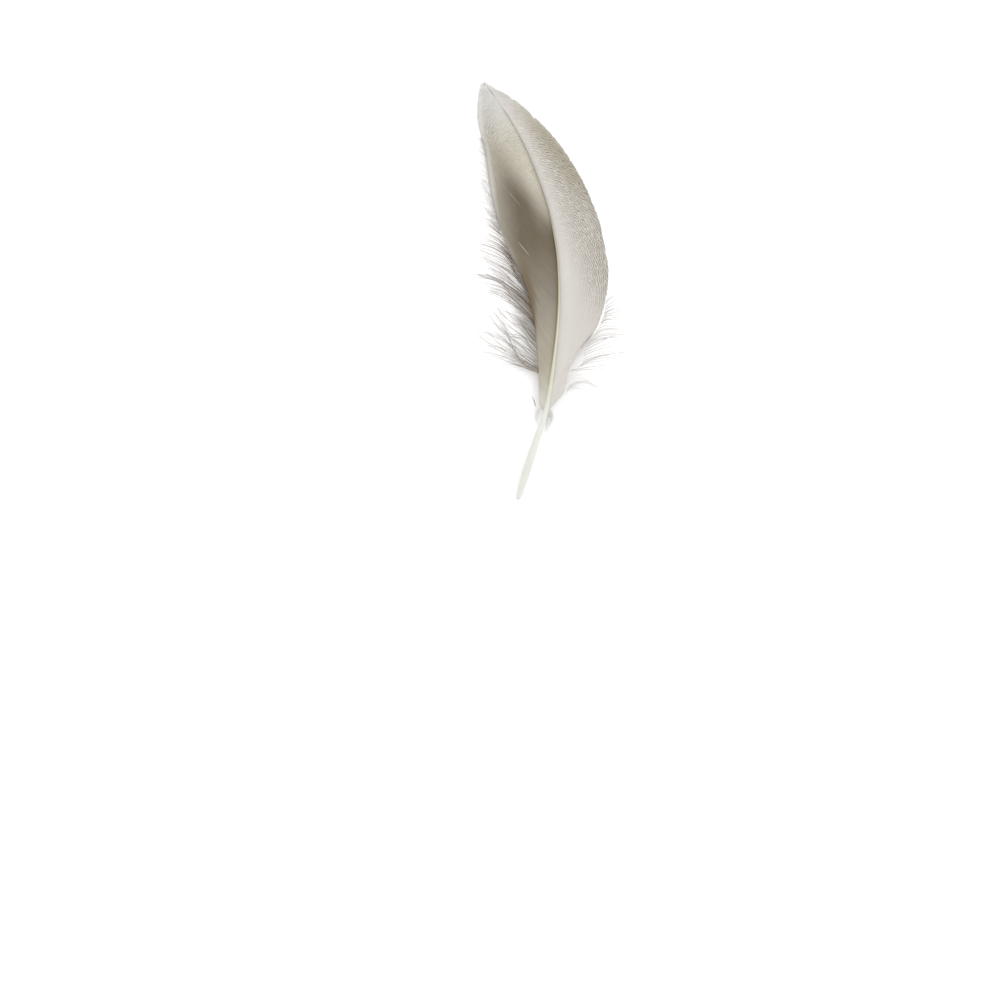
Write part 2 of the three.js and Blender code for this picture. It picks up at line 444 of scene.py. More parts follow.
def underVane(vane, along, share):
    # the underside of a vane, at a share of its length and a share of the barb's
    along, share = np.broadcast_arrays(along, share)
    root, zipped = np.moveaxis(vane["rootLine"](along), -1, 0)
    start = shaftCentre(root)
    end = vane["tipLine"](along)
    reachX = end[..., 0] - start[..., 0]
    reachY = end[..., 1] - start[..., 1]
    bow = 4 * vaneForm["barbBow"] * share * (1 - share) * vane["side"]
    drop = np.maximum(0, share) * np.minimum(1, zipped) / (1 - vaneForm["flatShare"])
    height = start[..., 2] + vaneForm["shaftProud"] * shaftWidth(root) - vaneForm["rootThickness"]
    return np.stack((
        start[..., 0] + reachX * share + reachY * bow,
        start[..., 1] + reachY * share - reachX * bow,
        np.maximum(0, height * (1 - np.minimum(1, drop) ** vaneForm["camberPower"])),
    ), axis=-1)


def finishShape(bm, name):
    bmesh.ops.recalc_face_normals(bm, faces=bm.faces[:])
    for face in bm.faces:
        face.smooth = True
    mesh = bpy.data.meshes.new(name)
    bm.to_mesh(mesh)
    bm.free()
    return mesh


# Unit shapes: a tube along Y from 0 to 1, drawn to a point or closed flat at its end, and a spike.
# A hole in the tube's start is given by its wall, as a share of the radius, and its depth.
def makeTube(sides, steps, pointed=True, hole=None, crispSides=False):
    bm = bmesh.new()
    bmesh.ops.create_circle(bm, segments=sides, radius=1, matrix=Matrix.Rotation(math.pi / 2, 4, "X"))
    start = bm.verts[:]
    edges = bm.edges[:]
    for _ in range(steps):
        grown = bmesh.ops.extrude_edge_only(bm, edges=edges)["geom"]
        edges = [e for e in grown if isinstance(e, bmesh.types.BMEdge)]
        ring = [v for v in grown if isinstance(v, bmesh.types.BMVert)]
        bmesh.ops.translate(bm, verts=ring, vec=(0, 1 / steps, 0))
    if pointed:
        bmesh.ops.pointmerge(bm, verts=ring, merge_co=(0, 1, 0))
    else:
        bmesh.ops.contextual_create(bm, geom=ring)
    cap = bmesh.ops.contextual_create(bm, geom=start)["faces"]
    if hole:
        wall, depth = hole
        bmesh.ops.inset_region(bm, faces=cap, thickness=wall, use_even_offset=True)
        inner = bmesh.ops.extrude_discrete_faces(bm, faces=cap)["faces"]
        bmesh.ops.translate(bm, verts=inner[0].verts[:], vec=(0, depth, 0))
    if crispSides:
        for edge in bm.edges:
            edge.smooth = not all(abs(v.co.x) > 0.8 for v in edge.verts)
    return finishShape(bm, "unitTube")


def makeSpike():
    bm = bmesh.new()
    turned = Matrix.Translation((0, 0.5, 0)) @ Matrix.Rotation(-math.pi / 2, 4, "X")
    bmesh.ops.create_cone(
        bm, cap_ends=True, cap_tris=False, segments=3, radius1=1, radius2=0, depth=1, matrix=turned
    )
    return finishShape(bm, "unitSpike")


def readPoints(mesh):
    points = np.empty(len(mesh.vertices) * 3, np.float32)
    mesh.vertices.foreach_get("co", points)
    return points.reshape(-1, 3).astype(float)


def appendCopies(bm, shape, count):
    # many copies are added in blocks, which is much faster
    block = 64
    if count > block:
        many = bmesh.new()
        for _ in range(block):
            many.from_mesh(shape)
        blockMesh = bpy.data.meshes.new("block")
        many.to_mesh(blockMesh)
        many.free()
        for _ in range(count // block):
            bm.from_mesh(blockMesh)
        bpy.data.meshes.remove(blockMesh)
        count %= block
    for _ in range(count):
        bm.from_mesh(shape)


def finishPiece(name, parts, material):
    # each part: a unit shape, the points of all its copies in mm, their fields and their maps
    bm = bmesh.new()
    for shape, points, _, _ in parts:
        appendCopies(bm, shape, len(points))
    mesh = bpy.data.meshes.new(name)
    bm.to_mesh(mesh)
    bm.free()
    places = np.concatenate([points.reshape(-1, 3) for _, points, _, _ in parts])
    mesh.vertices.foreach_set("co", (places * mm).astype(np.float32).ravel())
    for field in parts[0][2]:
        values = [
            np.broadcast_to(fields[field], points.shape[:2]).ravel() for _, points, fields, _ in parts
        ]
        layer = mesh.attributes.new(field, "FLOAT", "POINT")
        layer.data.foreach_set("value", np.concatenate(values).astype(np.float32))
    corners = np.empty(len(mesh.loops), np.int32)
    mesh.loops.foreach_get("vertex_index", corners)
    for label in parts[0][3]:
        pairs = np.concatenate([maps[label].reshape(-1, 2) for _, _, _, maps in parts])
        layer = mesh.uv_layers.new(name=label, do_init=False)
        layer.data.foreach_set("uv", pairs[corners].astype(np.float32).ravel())
    mesh.update()
    mesh.materials.append(material)
    piece = bpy.data.objects.new(name, mesh)
    bpy.context.scene.collection.objects.link(piece)
    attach(piece, "root")
    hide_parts("feather")
    print(f"{name}: {sum(len(p.vertices) - 2 for p in mesh.polygons)} triangles")


# Shaft and quill, each from and to a distance from the quill's end
shaftPiece = {
    "from": 13.0,
    "to": 77.2,
    "sides": 14,
    "steps": 150,
    "groove": 0.35,
    "flatten": 0.94,
    "sunken": 0.1,  # how much narrower it starts, inside the quill
    "thinning": 0.76,
}
quillPiece = {
    "from": 0.05,
    "to": 15.5,
    "sides": 18,
    "steps": 40,
    "groove": 0,
    "flatten": 1,
    "hole": (0.38, 0.05),
    "thinning": 0.25,
}
grooveWidth = 0.45  # share of the radius


def bendShaft(shape, piece, endScale):
    local = readPoints(shape)
    distance = piece["from"] + (piece["to"] - piece["from"]) * local[:, 1]
    centre = shaftCentre(distance)
    ahead = shaftCentre(np.minimum(shaftLength, distance + shaftForm["slopeReach"]))
    behind = shaftCentre(np.maximum(0, distance - shaftForm["slopeReach"]))
    sideways = toTheRight(unit(ahead - behind))
    radius = shaftWidth(distance)[:, None] / 2 * endScale(local[:, 1])[:, None]
    x = local[:, :1]
    z = local[:, 2:] * piece["flatten"]
    # the underside carries a shallow groove
    z = np.where(z < 0, z * (1 - piece["groove"] * np.exp(-((x / grooveWidth) ** 2))), z)
    points = centre + sideways * x * radius + np.array((0, 0, 1)) * z * radius
    return points[None], {"distance": distance[None], "side": local[None, :, 0]}


def makeShaft(material):
    shape = makeTube(shaftPiece["sides"], shaftPiece["steps"])

    def endScale(share):
        start = 1 - shaftPiece["sunken"] + shaftPiece["sunken"] * smoothStep(0, 0.06, share)
        return start * (1 - shaftPiece["thinning"] * smoothStep(0.33, 0.95, share))

    points, fields = bendShaft(shape, shaftPiece, endScale)
    finishPiece("shaft", [(shape, points, fields, {})], material)


def makeQuill(material):
    shape = makeTube(quillPiece["sides"], quillPiece["steps"], pointed=False, hole=quillPiece["hole"])

    def endScale(share):
        return 1 - quillPiece["thinning"] * smoothStep(0.86, 1, share)

    points, fields = bendShaft(shape, quillPiece, endScale)
    finishPiece("quill", [(shape, points, fields, {})], material)


makeShaft(makeHornMaterial("horn"))
makeQuill(makeHornMaterial("clearHorn"))
print("shaft and quill")


# Vanes. Lengths are in mm and shares run along a barb, from its root to its tip.
vanePiece = {
    "rootSpacing": 0.3,
    "firstRoot": 0.05,
    "overlap": 1.3,
    "sides": 6,
    "steps": 9,
    "crowding": 1.6,  # steps grow shorter towards a barb's tip
    "ridge": 0.02,  # how far a barb's ridge stands up
    "edge": 0.008,
    "tilt": 0.008,
    "lengthChance": 0.007,
    "tipRaggedness": 4,
    "longest": 1.003,
    "nickReach": 1.4,  # a nick ends this many widths from its middle
    "splitReach": 3,  # barbs that a split pushes aside
    "drift": 0.01,
    "lift": 0.003,
    "bareWidth": 0.03,
    "bareRise": 0.35,
    "toneChance": 0.28,
    "lowest": 0.01,
}
raisedForm = {"sides": 4, "steps": 14, "blunt": 0.04, "flatten": 0.5, "arch": 0.03}
broadVane = {
    "side": 1,
    "seed": 11,
    "linesRound": (-8.8, -2.1),
    # distance of a barb's root, the place where its web ends, and how soon it comes down to the surface
    "guides": [
        (17.3, -0.1, -22.7, 0.2), (18.3, 1.4, -21.1, 0.2), (19.5, 2.8, -19.3, 0.2), (20.7, 3.3, -17, 0.22),
        (21.7, 3.8, -14.2, 0.3), (22.5, 5.4, -11.4, 0.45), (23.3, 7.6, -8.9, 0.7), (24.2, 9.3, -6.2, 1),
        (25.3, 10.4, -2.6, 1), (26.7, 11, 1.2, 1), (28.6, 11.1, 4.4, 1), (31.3, 10.6, 7.6, 1),
        (36.4, 10, 10.4, 1), (40.8, 9.3, 13.5, 1), (47.4, 7.2, 18.8, 1), (54.2, 5, 23, 1),
        (60.1, 1.6, 28.1, 1), (66.2, -2.5, 32.5, 1), (72.6, -7.2, 36.6, 1), (77, -10.7, 38.5, 1),
        (80, -12.4, 39.55, 1), (80.7, -12.9, 39.3, 1),
    ],
    # root distance, depth as a share of the barb, width in mm
    "nicks": [(67.2, 0.035, 0.5), (72.8, 0.05, 0.5), (58.1, 0.015, 0.4), (45.3, 0.012, 0.4)],
    # where the web has come apart: root distance, from and to share of the barb, width in mm
    "splits": [(30.2, 0.6, 0.95, 0.02), (52.5, 0.8, 1.0, 0.03)],
    "raised": [],
    # root distance, and how long the bare end of a barb is there
    "frayed": [(18, 0.9), (21, 0.6), (24, 0.9), (28, 0.4), (70, 0.3), (80, 0.7)],
}
narrowVane = {
    "side": -1,
    "seed": 12,
    "linesRound": (27, -7),
    "guides": [
        (17.2, -2, -22.1, 0.3), (17.8, -2.2, -20.9, 0.3), (19, -2.25, -18.7, 0.3),
        (20.7, -2.3, -15.8, 0.3), (25.5, -2.8, -9, 0.32),
        (29.3, -3.7, -3, 0.38), (33.2, -5.6, 3, 0.5), (35.4, -8.2, 8.4, 0.75),
        (37.9, -10.6, 14.8, 1), (43.6, -11.6, 20, 1), (49.4, -12.3, 24.7, 1), (56.8, -13.1, 29.1, 1),
        (59.4, -13.65, 31.3, 1), (64.2, -13.85, 33.6, 1), (70.4, -13.75, 36, 1), (76.1, -13.3, 38.2, 1),
        (80, -12.5, 39.6, 1),
    ],
    "nicks": [],
    "splits": [(54.6, 0.45, 0.6, 0.02), (36.2, 0.3, 0.7, 0.02)],
    # barbs that stand up, painted pale as a highlight where they catch the light: root distance, from and to
    # share, width in mm
    "raised": [(41.2, 0.37, 0.53, 0.1), (50.6, 0.42, 0.62, 0.035)],
    "frayed": [(18, 0.9), (30, 0.4), (36, 0.8), (38, 0.25), (60, 0.25), (75, 0.4), (80, 0.7)],
}


def asVane(vane):
    return {
        "side": vane["side"],
        "rootLine": smoothLine([(root, zipped) for root, _, _, zipped in vane["guides"]]),
        "tipLine": smoothLine([(x, y) for _, x, y, _ in vane["guides"]]),
    }


def alongVane(lines, distance):
    # how far along the vane, from 0 to 1, a barb has its root at this distance
    table = np.linspace(0, 1, 2001)
    return np.interp(distance, lines["rootLine"](table)[:, 0], table)


# Where the webs are grey, olive, lined and brown, where shade is painted along the fold and crease, and
# where their pale edges carry painted light. x, y and root are in mm.
# painted light that lifts the shade at the steep tip of both webs
def paintedLightAtTip(y):
    return 0.55 * smoothStep(37.6, 39.3, y)


def narrowFields(points, share, root):
    x, y = points[..., 0], points[..., 1]
    core = smoothStep(-3.6, 1.9, -0.737 * (x + 12.37) - 0.676 * (y - 26.6))
    paleMargin = smoothStep(0.8, 1, share) * smoothStep(35.5, 39, root)
    low = smoothStep(2, -20, y)
    # the brown fades down the vane, towards the margin and towards the shaft
    dark = core * np.interp(y, (-22, -19, -13, -6, 2, 9), (0, 0.18, 0.38, 0.6, 0.84, 1))
    margin = 0.5 * smoothStep(-1, 8, y) + 0.35 * smoothStep(17, 25, y)
    dark = dark * (1 - margin * smoothStep(0.42, 0.95, share)) * (1 - 0.4 * paleMargin)
    dark = dark * (1 - 0.42 * smoothStep(0.28, 0.03, share) * smoothStep(9, 15, y))
    # painted shade in a fold, widest where the brush of hairs begins, in a crease and along the curled lower
    # edge
    foldEdge = np.interp(y, (-9, -4, -1, 2, 6), (-2.55, -2.6, -2.75, -3.5, -5.2))
    foldShade = smoothStep(foldEdge, foldEdge - 0.5, x) * smoothStep(7, 2, y) * smoothStep(-12, -7, y)
    creaseShade = np.exp(-(((x + 2.9 + 0.038 * y) / 0.13) ** 2)) * smoothStep(7, 3, y) * smoothStep(-12, -9, y)
    edge = smoothStep(0.72, 0.97, share) * smoothStep(37, 34, root) * smoothStep(-9.5, -6.5, y)
    olive = 0.22 * np.exp(-(((x + 9.5) / 4) ** 2) - ((y - 26) / 4.5) ** 2)
    return {
        "grey": 0.6 - 0.4 * paleMargin + 0.3 * low,
        "tipPale": np.maximum(smoothStep(24, 37, y) + 0.5 * smoothStep(-14, -21, y), 0.8 * paleMargin),
        "olive": olive + 0.2 * smoothStep(-8, -14, y) * smoothStep(-21, -15, y),
        "pattern": (0.36 + 0.28 * smoothStep(0.4, 0.9, share)) * smoothStep(12, 22, y)
        * (1 - 0.75 * core) * (1 - 0.35 * smoothStep(28, 36, y)),
        "dark": dark,
        "ridge": np.clip(0.85 * foldShade + 0.35 * edge + 0.3 * creaseShade, 0, 1),
        # pale margin with painted light that lifts the shade along it
        "paleEdgeAndPaintedLight": np.maximum(
            smoothStep(35, 41, root)
            * (0.45 * smoothStep(0.82, 1, share) + 0.3 * smoothStep(0.94, 0.99, share)),
            paintedLightAtTip(y),
        ),
    }


def broadFields(points, share, root):
    y = points[..., 1]
    low = smoothStep(-1, -15, y)
    # painted light: the web is paler towards the bottom, standing in for light that comes through the thin
    # web
    grey = smoothStep(0.0, 0.42, share) * (1 - 0.45 * low)
    olive = smoothStep(0.3, 0.8, share) * smoothStep(38, 29, y) * smoothStep(12, 25, y)
    lines = smoothStep(-0.15 + 0.4 * smoothStep(14, -2, y), 0.62 + 0.2 * smoothStep(14, -2, y), share)
    lines = lines * smoothStep(-9, 3, y)
    return {
        "grey": grey,
        "tipPale": 0.65 * smoothStep(31, 38, y),
        "olive": 0.58 * olive + 0.1 * smoothStep(0.5, 0.9, share) * smoothStep(-8, 5, y),
        "pattern": 0.85 * lines * (1 - 0.72 * smoothStep(25, 35, y)),
        "dark": np.zeros_like(share),
        "ridge": np.zeros_like(share),
        # pale web with painted light at the margin, beside the shaft above and at the tip
        "paleEdgeAndPaintedLight": np.maximum(
            0.3 * smoothStep(0.93, 1, share) * smoothStep(18, 28, y)
            + 0.3 * smoothStep(0.2, 0.02, share) * smoothStep(24, 14, y),
            paintedLightAtTip(y),
        ),
    }


def growBarbs(vane, fieldsOf, shape):
    chance = np.random.default_rng(vane["seed"])
    spacing = vanePiece["rootSpacing"]
    steps = vanePiece["steps"]
    lines = asVane(vane)
    roots = np.arange(vane["guides"][0][0] + vanePiece["firstRoot"], vane["guides"][-1][0], spacing)
    count = len(roots)

    # one barb more at either end, to measure the spacing from
    wide = np.concatenate(([roots[0] - spacing], roots, [roots[-1] + spacing]))
    alongs = alongVane(lines, wide)
    ragged = vanePiece["lengthChance"] * (1 + vanePiece["tipRaggedness"] * smoothStep(72, 80, roots))
    reach = np.minimum(1 + ragged * chance.normal(size=count), vanePiece["longest"])
    for at, depth, width in vane["nicks"]:
        reach -= depth * np.clip(vanePiece["nickReach"] - np.abs(roots - at) / width, 0, 1)
    share = 1 - (1 - np.linspace(0, 1, steps + 1)) ** vanePiece["crowding"]
    reach = np.concatenate((reach[:1], reach, reach[-1:]))[:, None] * share
    centre = underVane(lines, alongs[:, None], reach)
    thickness = vaneForm["rootThickness"] + (vaneForm["marginThickness"] - vaneForm["rootThickness"]) * share
    centre[..., 2] += thickness * 0.5
    tangent = unit(np.gradient(centre, axis=1))[1:-1]
    gap = centre[2:] - centre[:-2]
    centre = centre[1:-1]
    gap = gap - tangent * np.sum(gap * tangent, axis=-1, keepdims=True)
    pitch = np.linalg.norm(gap, axis=-1) / 2
    across = unit(gap)
    up = np.cross(across, tangent)
    up = np.where(up[..., 2:] < 0, -up, up)

    for at, low, high, width in vane["splits"]:
        away = (roots - at) / spacing
        push = np.where(away > 0, 1, -1) * np.exp(-np.abs(away) / vanePiece["splitReach"]) * width
        middle = (low + high) / 2
        opening = smoothStep(low, middle, share) * smoothStep(high + 0.02, middle, share)
        centre = centre + across * (push[:, None] * opening)[..., None]
    drift = chance.normal(size=(count, 1)) * vanePiece["drift"] * share**2
    lift = chance.normal(size=(count, 1)) * vanePiece["lift"]
    centre = centre + across * drift[..., None] + up * lift[..., None]

    # towards its tip a barb's web narrows to a bare hair
    length = np.linalg.norm(centre[:, -1] - centre[:, 0], axis=-1)[:, None]
    frayed = np.interp(roots, *np.transpose(vane["frayed"]))[:, None]
    narrowing = smoothStep(0, 1, (1 - share)[None] * length / frayed)
    half = (pitch * vanePiece["overlap"] * narrowing + vanePiece["bareWidth"] * (1 - narrowing)) / 2

    local = readPoints(shape)
    index = np.rint(local[:, 1] * steps).astype(int)
    # the ring's six corners make a thin web with a low ridge along its middle
    outerCorner = 0.86
    u = np.clip(local[:, 0] / outerCorner, -1, 1)
    z = local[:, 2]
    rise = np.where(z > 0.9, vanePiece["ridge"], np.where(z > 0, vanePiece["edge"], -vanePiece["edge"]))
    rise = rise + u * vanePiece["tilt"]
    points = centre[:, index] + across[:, index] * (half[:, index] * u)[..., None]
    bareRise = vanePiece["bareRise"]
    points = points + up[:, index] * (rise * (bareRise + (1 - bareRise) * narrowing[:, index]))[..., None]
    points[..., 2] = np.maximum(points[..., 2], vanePiece["lowest"])

    size = points.shape[:2]
    rootAll = roots[:, None] + u * spacing / 2
    fields = fieldsOf(points, np.broadcast_to(share[index], size), rootAll)
    fields["chance"] = np.clip(0.5 + vanePiece["toneChance"] * chance.normal(size=(count, 1)), 0, 1)
    fromCentre = points[..., :2] - vane["linesRound"]
    radius = np.linalg.norm(fromCentre, axis=-1)
    arc = np.arctan2(fromCentre[..., 1], fromCentre[..., 0]) * np.mean(radius)
    maps = {
        "lineMap": np.stack((radius, arc), axis=-1),
        "barbuleMap": np.stack((share[index] * length, np.broadcast_to(u, size)), axis=-1),
    }
    return (shape, points, fields, maps)


def growRaised(vane, fieldsOf, shape):
    at, low, high, width = np.transpose(vane["raised"])[..., None]
    lines = asVane(vane)
    along = alongVane(lines, at)
    local = readPoints(shape)
    place = low + (high - low) * local[:, 1]
    centre = underVane(lines, along, place)
    across = toTheRight(unit(underVane(lines, along, place + 0.01) - centre))
    blunt = raisedForm["blunt"]
    radius = (width / 2 * np.sin(math.pi * (blunt + (1 - blunt) * local[:, 1])))[..., None]
    flatten = np.array((0, 0, raisedForm["flatten"]))
    points = centre + across * radius * local[:, :1] + radius * local[:, 2:] * flatten
    arch = raisedForm["arch"] * np.sin(math.pi * local[:, 1])
    points[..., 2] += vaneForm["rootThickness"] * 0.5 + vanePiece["ridge"] + arch
    # painted highlight, pale all over: it has every field that its vane has, at 0
    size = points.shape[:2]
    fields = {name: np.zeros(size) for name in fieldsOf(points, np.zeros(size), at)}
    fields["chance"] = np.ones(size)
    nowhere = np.zeros((*size, 2))
    return (shape, points, fields, {"lineMap": nowhere, "barbuleMap": nowhere})


def makeVane(name, vane, fieldsOf, shape, material):
    parts = [growBarbs(vane, fieldsOf, shape)]
    if vane["raised"]:
        raisedShape = makeTube(raisedForm["sides"], raisedForm["steps"])
        parts.append(growRaised(vane, fieldsOf, raisedShape))
    finishPiece(name, parts, material)


barbShape = makeTube(vanePiece["sides"], vanePiece["steps"], crispSides=True)
makeVane("broadVane", broadVane, broadFields, barbShape, makeWebMaterial("greyWeb", greyWeb))
makeVane("narrowVane", narrowVane, narrowFields, barbShape, makeWebMaterial("brownWeb", brownWeb))
print("vanes")


# Loose barbs and down. Each group lies between guide strands, given by five places from root to tip.
# A strand starts at the height of the vane's edge or the shaft there, and comes down to the surface.
strandForm = {"sides": 4, "steps": 14, "fall": 1.4, "clear": 0.04}
fuzzForm = {"sides": 3, "steps": 9, "fall": 0.65, "clear": 0.06}
looseForm = {
    "edgeShare": 0.92,  # where on the vane's barbs its edge is read, and how far above the underside
    "edgeHeight": 0.12,
    "unevenness": 0.35,  # how far a strand leaves its even place in the group
    "mostShorter": 0.5,
    "taper": 0.65,
    "widths": (0.75, 1.25),
    "lift": 0.22,  # mm that its middle stands up, at most
    "toneChance": 0.25,
    "lowest": 0.008,
}
barbuleForm = {
    "from": 0.04,
    "to": 0.985,
    "spread": (0.4, 0.9),  # radians away from the strand
    "raise": 0.16,
    "lengths": (0.6, 1.1),
    "tipShorter": 0.5,
    "paler": 0.3,
    "tipLight": 0.4,
    "lowest": 0.006,
}
strandShape = makeTube(strandForm["sides"], strandForm["steps"])
fuzzShape = makeTube(fuzzForm["sides"], fuzzForm["steps"])
spikeShape = makeSpike()

